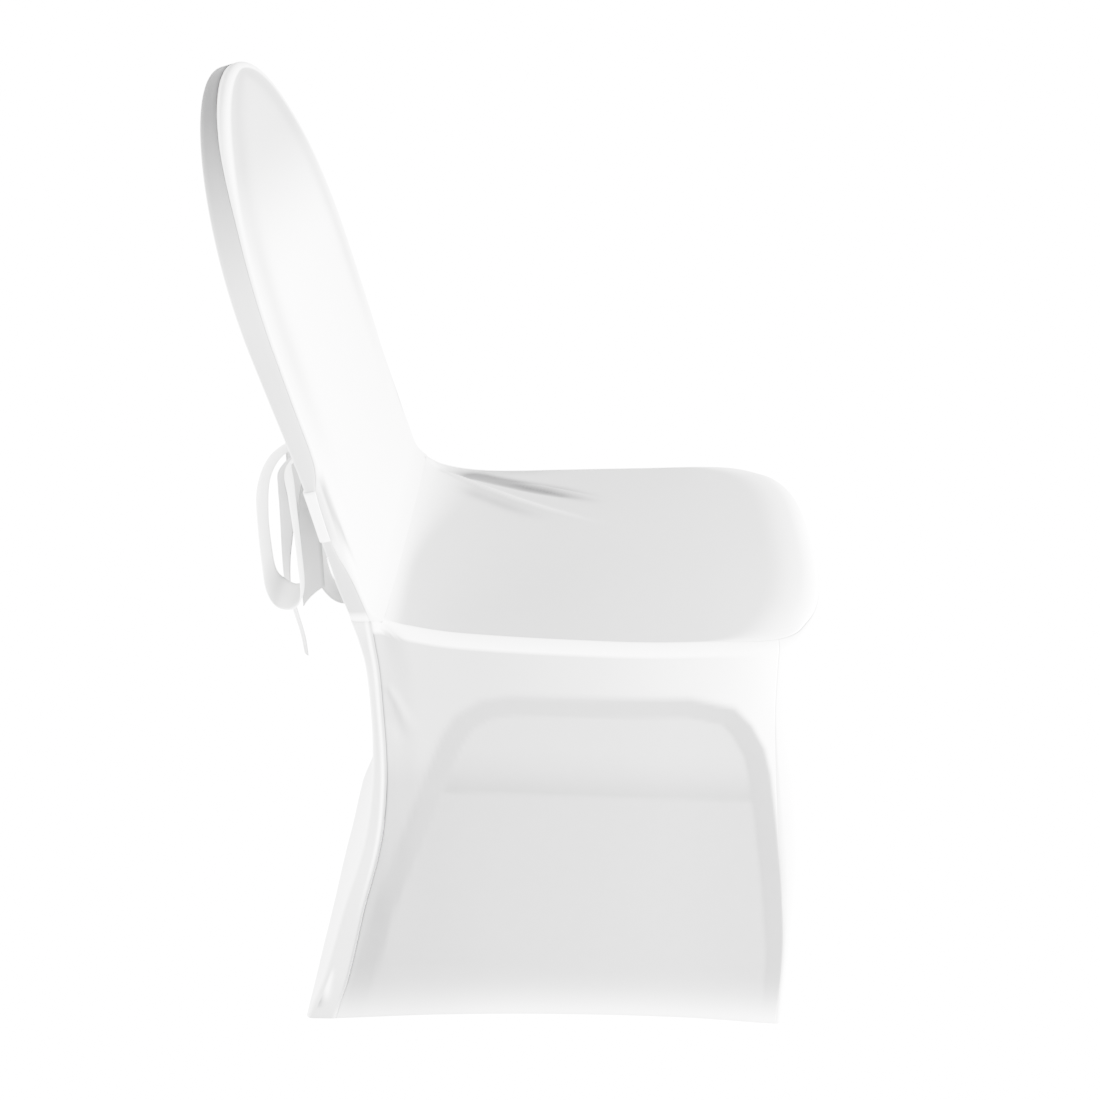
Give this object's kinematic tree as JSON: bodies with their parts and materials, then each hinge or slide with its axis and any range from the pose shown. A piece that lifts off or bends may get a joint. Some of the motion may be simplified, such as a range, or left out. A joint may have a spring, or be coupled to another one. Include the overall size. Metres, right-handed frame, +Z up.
{
  "type": "fitted chair cover",
  "caption": "Fitted stretch-knit cover for a round-topped banquet chair, with a smooth seat, skirts to the floor and a tied bow behind.",
  "frame": {"origin": "middle of the cover's own box, at the height of the floor that its hem reaches", "axes": "+X is the front of the seat, -Y the sitter's right-hand side, +Z up"},
  "size_m": [0.5876, 0.4504, 0.9318],
  "materials": {
    "stretch_knit": "matt, softly lustrous white knit"
  },
  "bodies": {
    "root": {"inner_back": "stretch_knit", "outer_back": "stretch_knit", "seat_top": "stretch_knit", "front_skirt": "stretch_knit", "side_skirt_right": "stretch_knit", "side_skirt_left": "stretch_knit", "back_skirt": "stretch_knit", "tie_right": "stretch_knit", "tie_left": "stretch_knit", "bow_knot": "stretch_knit", "bow_loop_right": "stretch_knit", "bow_loop_left": "stretch_knit", "bow_tail_right": "stretch_knit", "bow_tail_left": "stretch_knit"}
  },
  "joints": []
}
